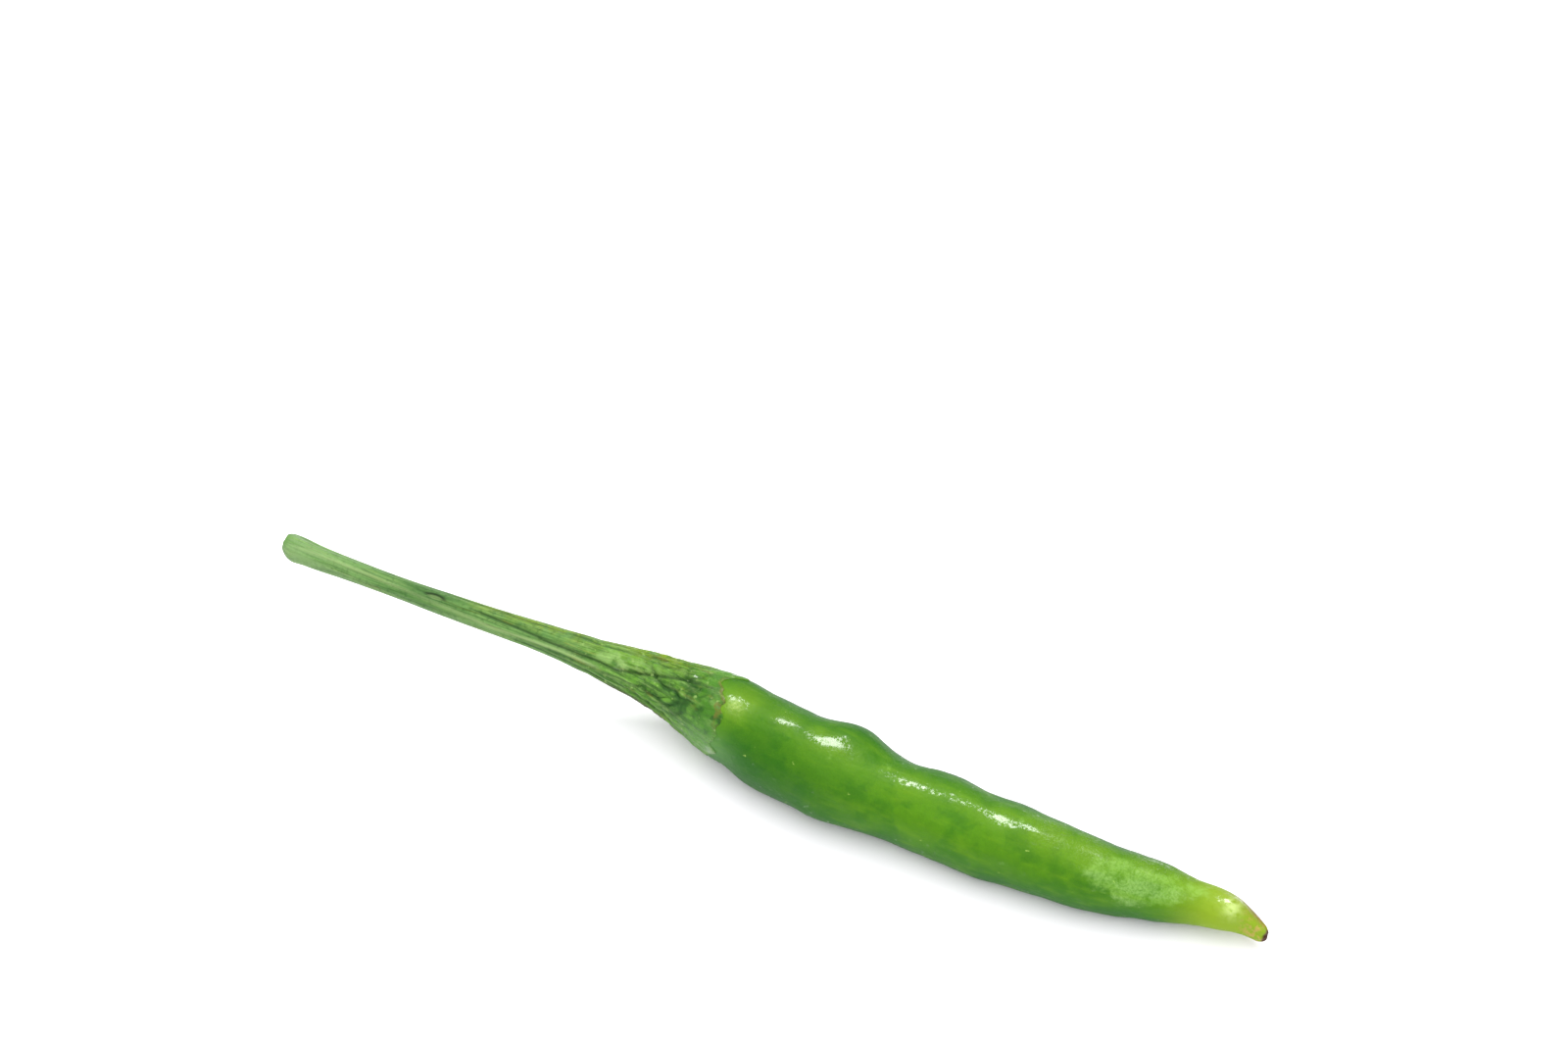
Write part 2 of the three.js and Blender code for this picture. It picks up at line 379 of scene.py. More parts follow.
def pod_marks(along, angle, lumps):
    """Where the fruit's skin is wet, under a film, paler, deeper, dry or near the tip, and where light is
    painted: a glow round the water, a sheen by the calyx and glints on the tip and by the rim.
    """
    crest = smoothstep(27, 33, along) * smoothstep(54, 49, along) * bell(turn(angle, 7) / math.radians(19))
    film_middle = np.interp(along, (41, 47, 54), (30, 36, 4))
    film_off = np.hypot((along - 47.4) / 6.8, turn(angle, film_middle) / math.radians(44))
    return {
        "to_tip": (POD_LENGTH - along) / POD_LENGTH,
        "wet": near_beads(along, angle, 1),
        # Where the skin is wet round the beads and along its top; the colour also takes a painted glow of
        # highlight from it.
        "damp_and_glow": np.maximum(0.85 * near_beads(along, angle, 1.9), crest * (0.35 + 1.4 * lumps)),
        "deep": smoothstep(24, 6, along) * smoothstep(0, 6, along) * bell(turn(angle, 88) / math.radians(80)),
        # Where a film of water lies; its pale colour is a painted reflection.
        "film": smoothstep(1.4, 0.4, film_off),
        "blond": spot(along, angle, 3.4, 2.2, -6, 24),
        # Painted reflection: a pale, bluish sheen where a film of water bridges the join with the calyx.
        "painted_sheen": spot(along, angle, 1.5, 3.2, 84, 26),
        "dry_side": spot(along, angle, 58.2, 2.4, -58, 46),
        # Painted highlights: a pale glint on the tip's bump and a smaller one beside the rim.
        "painted_gleam": spot(along, angle, 55.9, 0.8, 14, 30) + 0.6 * spot(along, angle, 2.7, 0.7, 14, 8),
    }


def pod_piece():
    """The glossy fruit. Its skin swells to meet the calyx, and pinches to a dry point at the tip."""
    piece = subdivided("pod_skin", paired_copy("pod"), POD_LEVELS)
    points = points_of(piece.data)
    along, angle, radius = straighten(points)
    lumps = wander(along, angle, 3.4, 1.3, 2)
    move = pod_swelling(along, angle, radius, lumps)
    place_points(piece.data, points + normals_of(piece.data) * move[:, None])
    keep_places(piece, along, angle, pod_marks(along, angle, lumps))
    return piece


# ------------------------------------------------------------------------------------ calyx and the stem

NECK = -CALYX_LENGTH
RIDGES = 5
STALK_LEVELS = 3

# How the two pieces' ends are drawn together at the neck: moves in mm along the middle line, and tapers.
CALYX_NECK_SLIDE = -0.8
CALYX_NECK_TAPER = 0.98
STEM_TOP_SLIDE = 2.5
STEM_TOP_TAPER = 1.15
STEM_END_CREASE = 0.12

# Lines drawn lengthwise on the calyx and the stem, as places of mm past the rim and degrees from the top.
DEEP_FOLD = ((-28, 12), (-22, 30), (-18.5, 43), (-13.5, 46), (-11, 51), (-7.3, 29), (-3.4, 8), (1, 2))
PALE_RIDGE = ((-48, 48), (-42, 32), (-38, 31), (-33.5, 41), (-29, 56), (-24.7, 68), (-17, 60), (-12, 66))
SIDE_FOLDS = (
    ((-29, 60), (-18.4, 73), (-11.7, 79), (-8, 92), (-2, 95)),
    ((-24, 84), (-16, 94), (-9, 108), (0, 116)),
    ((-31, -32), (-20, -14), (-12, -10), (-6, -22), (-2, -30)),
    ((-26, -70), (-14, -58), (-3, -62)),
)
BACK_FOLD_ANGLES = (138, 172, 205, 240, 270)
DRY_EDGE = ((-14, 116), (-9, 120), (-6, 121), (-2, 116))

# How far the calyx's edge reaches past the rim, in mm, at angles in degrees, and the middles of its teeth.
RIM_REACH = (
    (-150, 0.2), (-95, -0.4), (-62, 0.2), (-40, 0.4), (-20, -0.2), (-8, -0.5), (0, 0.5),
    (12, 0.2), (24, 1.1), (48, 1.7), (62, 2.1), (95, 1.5), (130, 0.5), (175, 0.6),
)
TOOTH_ANGLES = (-41, 14, 88, 160, 232)
TOOTH_REACH = 0.9

# Swellings and hollows of the calyx and the stem: height in mm, mm past the rim, length, angle, spread.
STALK_BUMPS = (
    (0.26, -19.5, 6.5, -42, 62),
    (0.16, -11.5, 5.5, 122, 52),
    (0.24, -45, 5, 130, 60),
    (-0.5, -45, 3.6, -45, 50),
)

# How much is added to the stem's radius, in mm, at places of mm past the rim.
STEM_FULLNESS = ((-48, 0.16), (-43, 0.22), (-30, 0.22), (-25, 0.15), (-21, 0.1))
STEM_END_BUMPS = ((0.32, -47.2, 1.1, 118, 60),)

# The nick in the stem: mm from its end, degrees from the top, depth in mm.
NICK_PLACE = 17
NICK_ANGLE = 19
NICK_DEPTH = 0.1


def back_folds():
    """Routes for the folds of the hidden side, which bend a little on their way to the rim."""
    bends = ((-28, 0), (-15, 6), (-9, -3), (-2, 2))
    return [[(place, middle + bend) for place, bend in bends] for middle in BACK_FOLD_ANGLES]


def stalk_lines(along, angle, radius):
    """How near each point is to the folds, and to the pale ridge, that run lengthwise."""
    width = np.interp(along, (-24, -8), (0.13, 0.26))
    deep = line_share(along, angle, radius, DEEP_FOLD, width)
    sides = [line_share(along, angle, radius, route, 0.8 * width) for route in (*SIDE_FOLDS, *back_folds())]
    folds = np.max([deep, *(0.6 * side for side in sides)], axis=0)
    return folds, line_share(along, angle, radius, PALE_RIDGE, 0.16)


def stalk_wrinkles(along, angle, radius):
    """The ridges and folds of the calyx and the stem: their height in mm, and marks for the skin."""
    on_calyx = smoothstep(NECK - 3, -6, along)
    crumpled = smoothstep(-12, -6, along) * (0.4 + 0.6 * bell(turn(angle, 42) / math.radians(50)))
    rib = (0.5 + 0.5 * np.cos(RIDGES * angle + 0.25 * np.sin(along / 7))) ** 5
    wide = creases(along, angle, 16, 1.7, 6)
    narrow = creases(along, angle, 8, 3.6, 7)
    hair = creases(along, angle, 5, 8, 8)
    pucker = creases(along, angle, 1.9, 2.3, 9)
    crumple = creases(along, angle, 0.9, 4.6, 10)
    folds, ridge = stalk_lines(along, angle, radius)
    height = 0.05 * (1 - 0.6 * on_calyx) * rib + 0.06 * ridge
    height += bumps(along, angle, STALK_BUMPS)
    height -= (0.1 + 0.12 * on_calyx) * folds
    height += (0.03 + 0.08 * on_calyx) * (wide - 0.6)
    height += (0.02 + 0.05 * on_calyx) * (narrow - 0.6)
    height += 0.014 * (hair - 0.6)
    height += crumpled * (0.36 * (pucker - 0.55) + 0.2 * (crumple - 0.55))
    puckered = 1 - crumpled * (1 - 0.6 * pucker - 0.4 * crumple)
    # The crest and fold marks carry painted light on the ridges and painted shade in the folds.
    return height, {
        "crest": np.minimum(0.3 + 0.4 * narrow + 0.3 * hair, puckered),
        "fold": np.maximum(folds, 0.8 * (1 - puckered)),
        "ridge": ridge,
        "pale": spot(along, angle, -11, 4.5, 24, 22),
        "sun": smoothstep(-31, -24, along) * smoothstep(-1, -7, along) * bell(turn(angle, -38) / 0.75),
    }


def slide_end(mesh, chosen, distance, taper):
    """Moves the chosen end of a cage along the middle line and draws it in."""
    points = points_of(mesh)
    along, _, _ = straighten(points)
    picked = chosen(along)
    x = along[picked] + RIM_X
    centre = line_at(x)
    drawn = centre + (points[picked] - centre) * taper
    points[picked] = drawn + direction_at(x) * distance
    place_points(mesh, points)


def rim_shift(angle):
    """How far the calyx's edge reaches past the rim at each angle, in millimetres."""
    angles, reach = zip(*RIM_REACH)
    shift = np.interp(np.degrees(angle), angles, reach, period=360)
    shift += 0.35 * wander(0 * angle, angle, 1, 7, 11)
    for middle in TOOTH_ANGLES:
        shift += TOOTH_REACH * bell(turn(angle, middle) / math.radians(6))
    return shift


def knobs_at(along, angle):
    """How near each point is to the tip of a tooth."""
    return np.max([spot(along, angle, 0, 0.9, middle, 7) for middle in TOOTH_ANGLES], axis=0)


def calyx_marks(along, angle, radius):
    """Where the cup's skin is thin and tan at its edge, dry, wet, or grown into the fruit, and where a pale
    sheen of water over its join with the fruit is painted.
    """
    knob = knobs_at(along, angle)
    wet = [
        knob,
        spot(along, angle, -0.5, 1.2, 12, 12),
        spot(along, angle, -3, 0.8, 2, 8),
        0.8 * spot(along, angle, -10.8, 0.7, 47, 14),
    ]
    return {
        "edge": smoothstep(-0.5, -0.1, along),
        "dry_edge": line_share(along, angle, radius, DRY_EDGE, 0.3),
        "merge": smoothstep(-3.4, -0.6, along),
        "tan_arc": bell(turn(angle, 18) / math.radians(38)) + 0.5 * knob,
        "wet": np.max(wet, axis=0),
        # Painted reflection: a pale, bluish sheen where a film of water bridges the join with the fruit.
        "painted_sheen": spot(along, angle, 0.5, 3.6, 86, 26),
    }


def calyx_lip(along, angle, height):
    """How far the cup's edge stands above the pod, in mm: thin, with knobs, and thicker further back."""
    lip = 0.06 + 0.14 * knobs_at(along, angle) + 0.04 * wander(0 * along, angle, 1, 4, 12)
    risen = smoothstep(-0.3, -2.4, along)
    return lip + np.maximum((0.15 + 0.55 * risen) * height + 0.2 * risen, 0)


def calyx_piece(pod, stem):
    """The leathery, wrinkled cup. Its thin uneven edge lies on the pod, and its neck on the stem."""
    cage = paired_copy("calyx")
    slide_end(cage, lambda along: along < NECK + 0.2, CALYX_NECK_SLIDE, CALYX_NECK_TAPER)
    piece = subdivided("calyx_skin", cage, STALK_LEVELS)
    points = points_of(piece.data)
    normals = normals_of(piece.data)
    along, angle, radius = straighten(points)
    height, marks = stalk_wrinkles(along, angle, radius)
    outward = facing_out(points, normals, along)
    near_rim = smoothstep(-3.5, 0.2, along)
    move = height * np.clip(outward, 0, 1) * (1 - 0.5 * near_rim)
    shift = rim_shift(angle) * near_rim
    points += normals * move[:, None] + direction_at(along + RIM_X) * shift[:, None]
    lip = calyx_lip(along, angle, height)
    points = settle(points, outward, pod, smoothstep(-2.4, -0.6, along), lip, along > -8, LEAST_LIP)
    on_neck = smoothstep(NECK + 1.6, NECK - 0.2, along)
    points = settle(points, outward, stem, on_neck, 0 * lip, along < NECK + 3, NECK_LIP)
    place_points(piece.data, points)
    keep_places(piece, along + shift, angle, marks | calyx_marks(along, angle, radius))
    return piece


def stem_marks(along, angle, to_end, nick_off):
    """Where the stalk's skin is nicked, shaded, paler or cut, and where shade is painted along one side of
    the nick's rim.
    """
    return {
        "nick": smoothstep(1.1, 0.7, nick_off),
        # Painted shade along the side of the nick's rim nearer the top.
        "nick_shade": bell((nick_off - 1) / 0.3) * smoothstep(0.22, -0.12, turn(angle, NICK_ANGLE)),
        "end": smoothstep(14, 0, to_end),
        "cut": smoothstep(0.9, 0.1, to_end),
        "shade": spot(along, angle, -31.8, 4.4, 20, 110),
    }


def stem_piece():
    """The stalk, ridged lengthwise, with a nick half way and a swollen, rounded end."""
    cage = paired_copy("stem", sharp_edges=STEM_END_CREASE)
    slide_end(cage, lambda along: along > NECK - 0.6, STEM_TOP_SLIDE, STEM_TOP_TAPER)
    piece = subdivided("stem_skin", cage, STALK_LEVELS)
    points = points_of(piece.data)
    normals = normals_of(piece.data)
    along, angle, radius = straighten(points)
    to_end = along + STALK_LENGTH
    height, marks = stalk_wrinkles(along, angle, radius)
    outward = np.clip(facing_out(points, normals, along), 0, 1)
    nick_off = np.hypot((to_end - NICK_PLACE) / 0.95, turn(angle, NICK_ANGLE) / 0.24)
    knuckle = wander(along, angle, 0.8, 2.5, 12) * smoothstep(3, 0.5, to_end)
    fuller = np.interp(along, *zip(*STEM_FULLNESS))
    move = (height + fuller) * outward * smoothstep(-0.3, 1.6, to_end) + 0.06 * knuckle
    move += bumps(along, angle, STEM_END_BUMPS)
    move -= NICK_DEPTH * smoothstep(1.2, 0.6, nick_off)
    place_points(piece.data, points + normals * move[:, None])
    keep_places(piece, along, angle, marks | stem_marks(along, angle, to_end, nick_off))
    return piece


# --------------------------------------------------------------------------------------- shader helpers

class Nodes:
    """Adds shader nodes to a tree, one call at a time."""

    def __init__(self, tree):
        self.tree = tree

    def feed(self, socket, value):
        if isinstance(value, bpy.types.NodeSocket):
            self.tree.links.new(value, socket)
        else:
            socket.default_value = value

    def node(self, kind, inputs=(), **settings):
        made = self.tree.nodes.new(kind)
        for name, value in settings.items():
            setattr(made, name, value)
        for socket, value in dict(inputs).items():
            self.feed(made.inputs[socket], value)
        return made

    def place(self, group, **values):
        """A placed node group's output, with its named inputs given their values."""
        made = self.node("ShaderNodeGroup", node_tree=group)
        for name, value in values.items():
            self.feed(made.inputs[name.replace("_", " ")], value)
        return made.outputs[0]

    def mark(self, name):
        return self.node("ShaderNodeAttribute", attribute_name=name).outputs["Fac"]

    def straight(self):
        """The straightened places that a piece's skin carries."""
        return self.node("ShaderNodeAttribute", attribute_name="straight").outputs["Vector"]

    def solid(self):
        """Places in the solid, in metres."""
        return self.node("ShaderNodeTexCoord").outputs["Object"]

    def noise(self, places, stretch, detail=3.0, roughness=0.55):
        scaled = self.node("ShaderNodeMapping", {"Vector": places, "Scale": stretch}).outputs["Vector"]
        made = self.node("ShaderNodeTexNoise", {
            "Vector": scaled, "Scale": 1.0, "Detail": detail, "Roughness": roughness,
        })
        return made.outputs["Fac"]

    def span(self, value, low, high, to_low=0.0, to_high=1.0):
        made = self.node("ShaderNodeMapRange", {
            "Value": value, "From Min": low, "From Max": high, "To Min": to_low, "To Max": to_high,
        }, interpolation_type="SMOOTHSTEP")
        return made.outputs["Result"]

    def sum(self, first, second):
        return self.node("ShaderNodeMath", {0: first, 1: second}, operation="ADD").outputs[0]

    def times(self, first, second):
        return self.node("ShaderNodeMath", {0: first, 1: second}, operation="MULTIPLY").outputs[0]

    def larger(self, first, second):
        return self.node("ShaderNodeMath", {0: first, 1: second}, operation="MAXIMUM").outputs[0]

    def mix(self, share, first, second):
        made = self.node("ShaderNodeMix", data_type="RGBA")
        self.feed(made.inputs["Factor"], share)
        self.feed(made.inputs["A"], first)
        self.feed(made.inputs["B"], second)
        return made.outputs["Result"]


class Material(Nodes):
    """A new material, whose Principled shader takes values by name."""

    def __init__(self, name):
        self.material = bpy.data.materials.new(name)
        self.material.use_nodes = True
        super().__init__(self.material.node_tree)

    def shade(self, **values):
        for name, value in values.items():
            self.feed(self.tree.nodes["Principled BSDF"].inputs[name.replace("_", " ")], value)
        return self.material

    def bumped(self, height, depth):
        made = self.node("ShaderNodeBump", {"Height": height, "Strength": 1.0, "Distance": depth * MM})
        return made.outputs["Normal"]


def colour(red, green, blue):
    """A linear colour from the 0 to 255 values that a paint chart gives."""
    parts = [value / 255 for value in (red, green, blue)]
    return (*[p / 12.92 if p <= 0.04045 else ((p + 0.055) / 1.055) ** 2.4 for p in parts], 1)


def grains(size):
    """The stretch that gives a noise in the solid grains of a size in millimetres."""
    return (1000 / size, 1000 / size, 1000 / size)


def new_group(name, inputs, output, output_kind):
    """A node group: its tree, a helper that adds nodes to it, its input sockets and its output socket."""
    group = bpy.data.node_groups.new(name, "ShaderNodeTree")
    for socket, kind in inputs.items():
        group.interface.new_socket(socket, in_out="INPUT", socket_type="NodeSocket" + kind)
    group.interface.new_socket(output, in_out="OUTPUT", socket_type="NodeSocket" + output_kind)
    given = group.nodes.new("NodeGroupInput").outputs
    result = group.nodes.new("NodeGroupOutput").inputs[0]
    return group, Nodes(group), given, result


def mottle_group():
    """Blotches or fibres of a second colour over a first, where a noise passes from start to full."""
    group, nodes, given, result = new_group("mottle", {
        "Base": "Color", "Tint": "Color", "Places": "Vector", "Stretch": "Vector",
        "Start": "Float", "Full": "Float", "Share": "Float",
    }, "Color", "Color")
    cover = nodes.span(nodes.noise(given["Places"], given["Stretch"], 4), given["Start"], given["Full"])
    nodes.feed(result, nodes.mix(nodes.times(cover, given["Share"]), given["Base"], given["Tint"]))
    return group


def grain_group():
    """The fine height of a plant's skin: round pores, and lines along it with a share of their own."""
    group, nodes, given, result = new_group("skin grain", {
        "Solid": "Vector", "Pores": "Vector", "Straight": "Vector", "Lines": "Vector", "Line Share": "Float",
    }, "Height", "Float")
    pores = nodes.noise(given["Solid"], given["Pores"], 3)
    lines = nodes.noise(given["Straight"], given["Lines"], 3)
    nodes.feed(result, nodes.sum(pores, nodes.times(lines, given["Line Share"])))
    return group


def water_group():
    """Where a patch of water wets the skin: a soft patch with a ragged edge, wholly wet past a full value."""
    group, nodes, given, result = new_group("water", {
        "Patch": "Float", "Places": "Vector", "Stretch": "Vector", "Ragged": "Float", "Full": "Float",
    }, "Mask", "Float")
    wobble = nodes.sum(nodes.noise(given["Places"], given["Stretch"], 7, 0.7), -0.5)
    wet = nodes.sum(given["Patch"], nodes.times(wobble, given["Ragged"]))
    nodes.feed(result, nodes.span(wet, 0.35, given["Full"]))
    return group


# -------------------------------------------------------------------------------------------- materials

# The side of the skin that is painted lighter and yellower as lit, with skin turned away from it painted
# darker as shade, in straightened places: on top, a little towards -Y.
LIT_SIDE = (0, 0.87, 0.5)
SKIN_IOR = 1.42


def pod_green(skin, mottle, straight, solid, patches):
    """The fruit's green: painted light and shade, lighter and yellower towards its lit side and darker away
    from it, with blotches and fibres, and deeper on one side.
    """
    # Painted light and shade: the skin is painted lighter and yellower the more it faces the lit side, and
    # darker as it turns away.
    facing = skin.node("ShaderNodeVectorMath", {0: straight, 1: LIT_SIDE}, operation="DOT_PRODUCT")
    lit = skin.span(skin.sum(facing.outputs["Value"], skin.times(patches, 0.9)), 0.45, 1.5)
    body = skin.mix(lit, colour(24, 87, 6), colour(72, 122, 0))
    body = skin.place(
        mottle, Base=body, Tint=colour(28, 92, 3), Places=solid, Stretch=grains(3.4),
        Start=0.45, Full=0.62, Share=0.5)
    body = skin.place(
        mottle, Base=body, Tint=colour(44, 88, 2), Places=solid, Stretch=grains(0.8),
        Start=0.35, Full=0.7, Share=0.14)
    body = skin.place(
        mottle, Base=body, Tint=colour(104, 146, 10), Places=straight, Stretch=(1.4, 5, 5),
        Start=0.45, Full=0.8, Share=0.3)
    return skin.mix(skin.times(skin.mark("deep"), 0.68), body, colour(14, 78, 6))


def pod_pale_places(skin, mottle, solid, damp_and_glow, body):
    """Painted highlight: a paler glow round the water; pale specks; and a painted pale sheen where a film of
    water bridges the join with the calyx.
    """
    # Painted highlight: a paler yellow-green glow round the water and along the top of the fruit.
    body = skin.mix(skin.times(damp_and_glow, 0.4), body, colour(126, 160, 30))
    body = skin.place(
        mottle, Base=body, Tint=colour(168, 196, 96), Places=solid, Stretch=grains(0.7),
        Start=0.7, Full=0.76, Share=0.6)
    body = skin.mix(skin.times(skin.mark("blond"), 0.3), body, colour(110, 144, 16))
    # Painted reflection: the pale, bluish sheen over the join with the calyx, painted into the colour.
    return skin.mix(skin.times(skin.mark("painted_sheen"), 0.45), body, colour(104, 146, 92))


def pod_tip(skin, mottle, solid, to_tip, body):
    """The tip's tan stipple, its painted highlights (pale glints on the tip's bump and beside the rim), its
    dry brown side and its dark point.
    """
    body = skin.place(
        mottle, Base=body, Tint=colour(176, 140, 84), Places=solid, Stretch=grains(0.45),
        Start=0.46, Full=0.62, Share=skin.span(to_tip, 0.06, 0.02, 0, 0.65))
    # Painted highlight: pale glints mottled into the colour on the tip's bump and beside the rim.
    body = skin.place(
        mottle, Base=body, Tint=colour(206, 226, 140), Places=solid, Stretch=grains(0.7),
        Start=0.3, Full=0.6, Share=skin.times(skin.mark("painted_gleam"), 0.6))
    body = skin.mix(skin.times(skin.mark("dry_side"), 0.9), body, colour(108, 72, 26))
    return skin.mix(skin.span(to_tip, 0.007, 0.002), body, colour(64, 34, 18))


def pod_wetness(skin, water, solid, damp_and_glow):
    """Where the skin is wet: beads of water, and finer drops round them."""
    beads = skin.place(
        water, Patch=skin.mark("wet"), Places=solid, Stretch=grains(0.6), Ragged=3.4, Full=0.6)
    sparkles = skin.place(
        water, Patch=damp_and_glow, Places=solid, Stretch=grains(0.28), Ragged=5.0, Full=0.9)
    return skin.larger(beads, skin.times(sparkles, skin.span(damp_and_glow, 0.05, 0.6, 0, 0.9)))


def pod_relief(skin, grain, straight, solid, damp_and_glow):
    """The fine height of the fruit's skin: its grain, and droplets where water or a film lies on it."""
    height = skin.place(
        grain, Solid=solid, Pores=grains(0.8), Straight=straight, Lines=(4, 16, 16), Line_Share=0.3)
    shining = skin.larger(skin.larger(skin.mark("wet"), damp_and_glow), skin.times(skin.mark("film"), 0.4))
    droplets = skin.times(shining, skin.times(skin.noise(solid, grains(0.35), 3), 2.2))
    return skin.sum(height, droplets)


def pod_material(mottle, grain, water):
    """Glossy green skin that turns lime towards the tip, with water and a film of water lying on it, whose
    pale reflection is painted into its colour.
    """
    skin = Material("pod skin")
    straight, solid = skin.straight(), skin.solid()
    to_tip, damp_and_glow = skin.mark("to_tip"), skin.mark("damp_and_glow")
    patches = skin.noise(solid, grains(7), 3)
    body = pod_green(skin, mottle, straight, solid, patches)
    body = pod_pale_places(skin, mottle, solid, damp_and_glow, body)
    wavering = skin.sum(to_tip, skin.times(skin.sum(patches, -0.5), 0.09))
    body = skin.mix(skin.span(wavering, 0.2, 0.07), body, colour(122, 150, 24))
    film = skin.place(
        water, Patch=skin.mark("film"), Places=solid, Stretch=grains(2.4), Ragged=3.2, Full=1.0)
    granules = skin.span(skin.noise(solid, grains(0.25), 3, 0.7), 0.36, 0.6, 0.4, 1)
    film_and_sheen = skin.times(film, granules)
    # Painted reflection: the film of water is painted a pale green, as the light that it mirrors.
    body = skin.mix(skin.times(film_and_sheen, 0.36), body, colour(150, 196, 92))
    wet = pod_wetness(skin, water, solid, damp_and_glow)
    return skin.shade(
        Base_Color=pod_tip(skin, mottle, solid, to_tip, body),
        Roughness=skin.span(skin.larger(wet, skin.times(film, 0.6)), 0, 1, 0.5, 0.2),
        Normal=skin.bumped(pod_relief(skin, grain, straight, solid, damp_and_glow), 0.08),
        IOR=SKIN_IOR,
        Specular_IOR_Level=0.24,
        Subsurface_Weight=0.08,
        Subsurface_Radius=(0.6, 1.0, 0.25),
        Subsurface_Scale=1.0 * MM,
        Coat_Weight=skin.larger(wet, skin.times(film_and_sheen, 0.7)),
        Coat_Roughness=0.14,
    )


def stalk_base(skin, mottle, straight, solid):
    """The colours that the calyx and the stem share: fibres, ridges and a yellowed upper side, with painted
    light on the crests and painted shade in the folds.
    """
    along = skin.node("ShaderNodeSeparateXYZ", {0: straight}).outputs[0]
    on_calyx = skin.span(along, (NECK - 5) / POD_RADIUS, -8 / POD_RADIUS)
    # Painted light and shade: lighter on the crests of ridges and puckers, darker in the hollows between
    # them.
    crest = skin.span(skin.mark("crest"), 0.3, 0.8)
    on_stem = skin.mix(crest, colour(58, 102, 42), colour(97, 137, 70))
    on_cup = skin.mix(crest, colour(34, 84, 22), colour(92, 142, 44))
    body = skin.mix(on_calyx, on_stem, on_cup)
    body = skin.place(
        mottle, Base=body, Tint=colour(120, 142, 28), Places=solid, Stretch=grains(1.3),
        Start=0.3, Full=0.6, Share=skin.times(skin.mark("sun"), 0.8))
    body = skin.place(
        mottle, Base=body, Tint=colour(132, 164, 92), Places=straight, Stretch=(0.9, 5, 5),
        Start=0.48, Full=0.7, Share=0.6)
    body = skin.place(
        mottle, Base=body, Tint=colour(40, 76, 20), Places=straight, Stretch=(1.3, 9, 9),
        Start=0.5, Full=0.66, Share=0.65)
    body = skin.place(
        mottle, Base=body, Tint=colour(122, 118, 36), Places=straight, Stretch=(1.6, 4, 4),
        Start=0.58, Full=0.72, Share=0.4)
    body = skin.place(
        mottle, Base=body, Tint=colour(36, 74, 20), Places=solid, Stretch=grains(0.5),
        Start=0.5, Full=0.66, Share=0.4)
    body = skin.place(
        mottle, Base=body, Tint=colour(158, 194, 112), Places=solid, Stretch=grains(1.0),
        Start=0.36, Full=0.6, Share=skin.times(skin.mark("pale"), 0.55))
    # Painted shade: the folds are painted a deep green.
    body = skin.mix(skin.times(skin.mark("fold"), 0.75), body, colour(24, 56, 14))
    return skin.mix(skin.times(skin.mark("ridge"), 0.6), body, colour(144, 168, 108))


def stalk_finish(skin, grain, straight, solid, body, coat, pore_size, depth):
    """The matt, finely pored and lined surface that the calyx and the stem share, wet where the coat says."""
    height = skin.place(
        grain, Solid=solid, Pores=grains(pore_size), Straight=straight, Lines=(2.4, 12, 12), Line_Share=0.8)
    return skin.shade(
        Base_Color=body,
        Roughness=skin.span(height, 0.7, 1.1, 0.42, 0.6),
        Normal=skin.bumped(height, depth),
        IOR=SKIN_IOR,
        Specular_IOR_Level=0.25,
        Subsurface_Weight=0.06,
        Subsurface_Radius=(0.5, 0.8, 0.2),
        Subsurface_Scale=0.6 * MM,
        Coat_Weight=coat,
        Coat_Roughness=0.16,
    )


def calyx_material(mottle, grain, water):
    """The cup's green leather, with a thin tan edge, corky specks, a few wet glints and a painted pale sheen
    over its join with the fruit.
    """
    skin = Material("calyx skin")
    straight, solid = skin.straight(), skin.solid()
    body = stalk_base(skin, mottle, straight, solid)
    body = skin.place(
        mottle, Base=body, Tint=colour(64, 118, 22), Places=solid, Stretch=grains(1.1),
        Start=0.36, Full=0.6, Share=skin.times(skin.mark("merge"), 0.75))
    edge = skin.span(skin.mark("edge"), 0.2, 0.8)
    tan = skin.times(edge, skin.span(skin.mark("tan_arc"), 0.1, 0.9, 0.1, 0.7))
    body = skin.place(
        mottle, Base=body, Tint=colour(100, 96, 36), Places=solid, Stretch=grains(0.9),
        Start=0.36, Full=0.55, Share=tan)
    body = skin.place(
        mottle, Base=body, Tint=colour(150, 180, 100), Places=solid, Stretch=grains(0.6),
        Start=0.6, Full=0.74, Share=0.5)
    # Painted reflection: the pale, bluish sheen over the join with the fruit, painted into the colour.
    body = skin.mix(skin.times(skin.mark("painted_sheen"), 0.5), body, colour(108, 146, 92))
    body = skin.mix(skin.times(skin.mark("dry_edge"), 0.8), body, colour(58, 50, 30))
    glints = skin.place(
        water, Patch=skin.mark("wet"), Places=solid, Stretch=grains(0.6), Ragged=1.6, Full=0.6)
    return stalk_finish(skin, grain, straight, solid, body, glints, 0.7, 0.26)


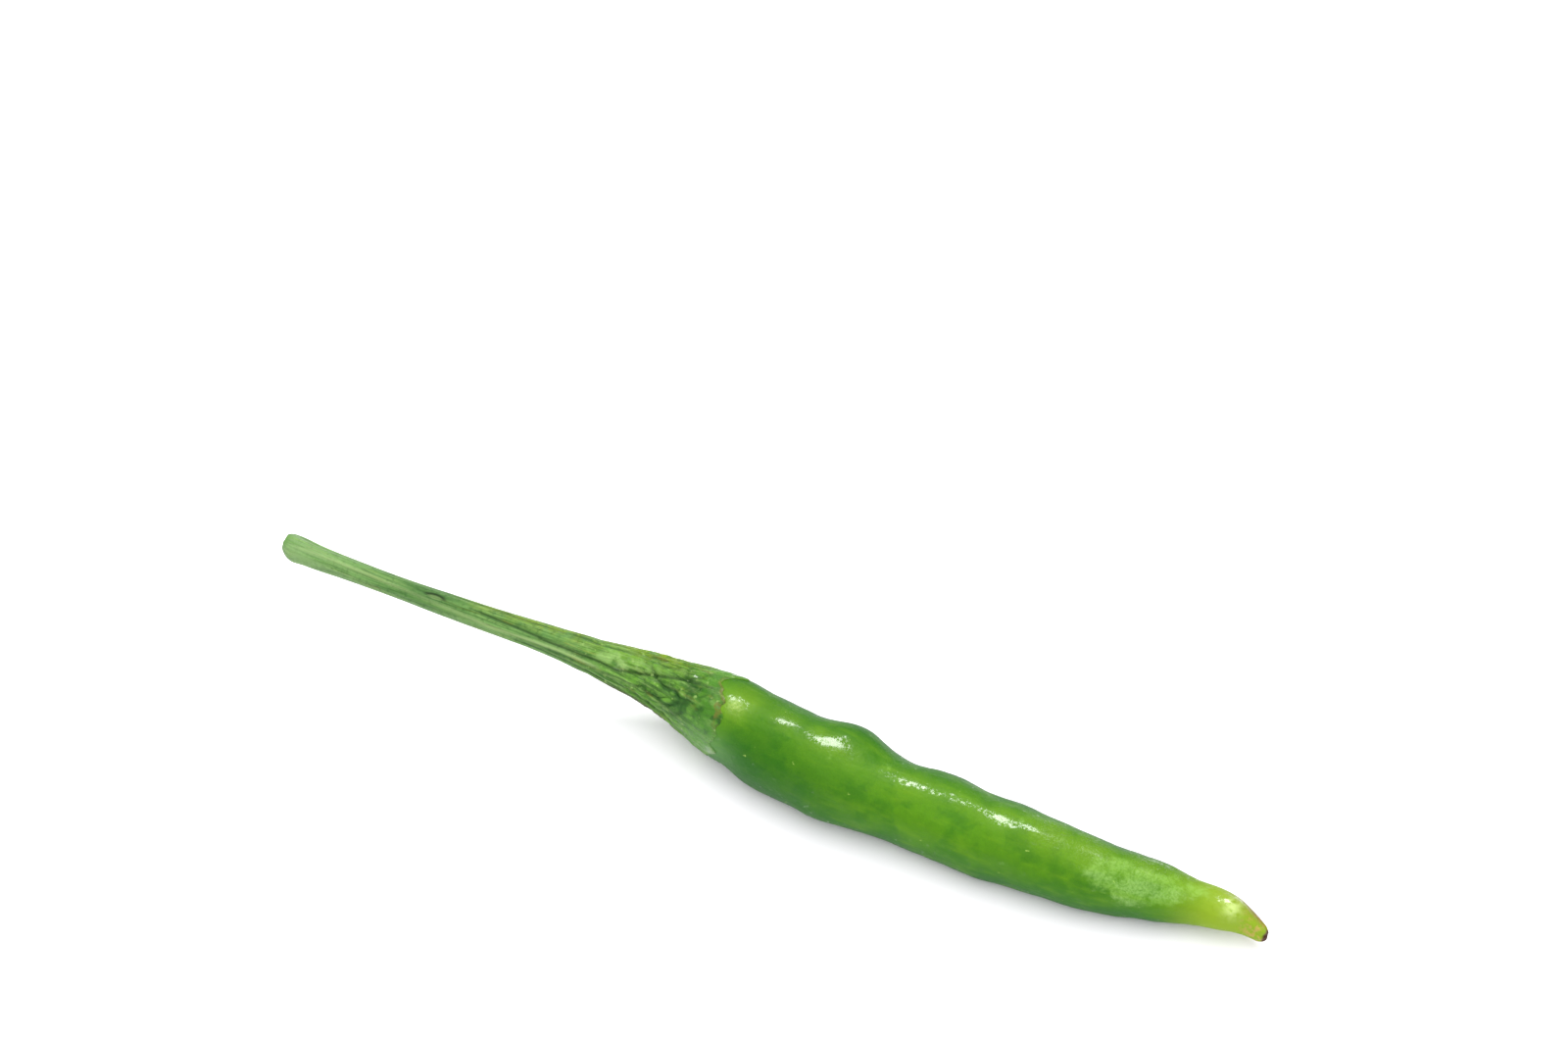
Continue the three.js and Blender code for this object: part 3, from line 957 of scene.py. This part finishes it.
def stem_material(mottle, grain):
    """The stalk's grey-green skin, paler at its end, with a small pale nick and painted shade along one side
    of its rim.
    """
    skin = Material("stem skin")
    straight, solid = skin.straight(), skin.solid()
    body = stalk_base(skin, mottle, straight, solid)
    body = skin.place(
        mottle, Base=body, Tint=colour(124, 154, 100), Places=straight, Stretch=(0.7, 4, 4),
        Start=0.3, Full=0.6, Share=skin.times(skin.mark("end"), 0.6))
    body = skin.mix(skin.times(skin.mark("shade"), 0.55), body, colour(48, 88, 38))
    body = skin.mix(skin.times(skin.mark("cut"), 0.6), body, colour(84, 126, 58))
    body = skin.mix(skin.times(skin.mark("nick"), 0.35), body, colour(124, 144, 92))
    # Painted shade: one side of the nick's rim painted dark green.
    body = skin.mix(skin.times(skin.mark("nick_shade"), 0.85), body, colour(26, 44, 18))
    return stalk_finish(skin, grain, straight, solid, body, 0.0, 0.4, 0.1)


# ------------------------------------------------------------------------------------- floor and lights

FLOOR_SIZE = 2
WORLD_STRENGTH = 1.0
MIRRORED_WORLD = 0.25


def make_floor():
    """A plain white board, which isn't part of the chilli."""
    mesh = bpy.data.meshes.new("floor")
    work = bmesh.new()
    bmesh.ops.create_grid(work, x_segments=1, y_segments=1, size=FLOOR_SIZE)
    work.to_mesh(mesh)
    work.free()
    floor = bpy.data.objects.new("floor", mesh)
    bpy.context.scene.collection.objects.link(floor)
    board = Material("white board")
    mesh.materials.append(board.shade(Base_Color=(0.94, 0.92, 0.96, 1), Roughness=0.6))


def make_panel(name, place, size, power, mirrored=True):
    """A square soft light that faces the chilli, and that glossy skin mirrors or not."""
    light = bpy.data.lights.new(name, "AREA")
    light.shape = "SQUARE"
    light.size = size
    light.energy = power
    panel = bpy.data.objects.new(name, light)
    bpy.context.scene.collection.objects.link(panel)
    panel.visible_glossy = mirrored
    panel.location = place
    panel.rotation_euler = (-Vector(place)).to_track_quat("-Z", "Y").to_euler()


def make_light():
    """A tent that glossy skin mirrors dimly, a roof that it doesn't mirror, and two panels that it does."""
    world = bpy.data.worlds.new("studio")
    bpy.context.scene.world = world
    world.use_nodes = True
    tent = Nodes(world.node_tree)
    sky = world.node_tree.nodes["Background"]
    mirrored = tent.node("ShaderNodeLightPath").outputs["Is Glossy Ray"]
    tent.feed(sky.inputs["Color"], (1, 1, 1, 1))
    tent.feed(sky.inputs["Strength"], tent.span(mirrored, 0, 1, WORLD_STRENGTH, MIRRORED_WORLD))
    make_panel("roof", (0.1, -0.25, 1.3), 1.7, 12.5, mirrored=False)
    make_panel("key", (-0.24, 0.5, 1.05), 0.4, 8)
    make_panel("front", (0.45, -0.75, 0.95), 0.8, 2.4)
    bpy.context.scene.view_settings.view_transform = "Standard"
    bpy.context.scene.cycles.use_denoising = True


# --------------------------------------------------------------------------------------------- the scene

make_camera()
mottle, grain, water = mottle_group(), grain_group(), water_group()
pod = pod_piece()
stem = stem_piece()
calyx = calyx_piece(pod, stem)
finish_piece(pod, "pod", pod_material(mottle, grain, water))
finish_piece(calyx, "calyx", calyx_material(mottle, grain, water))
finish_piece(stem, "stem", stem_material(mottle, grain))
make_floor()
make_light()
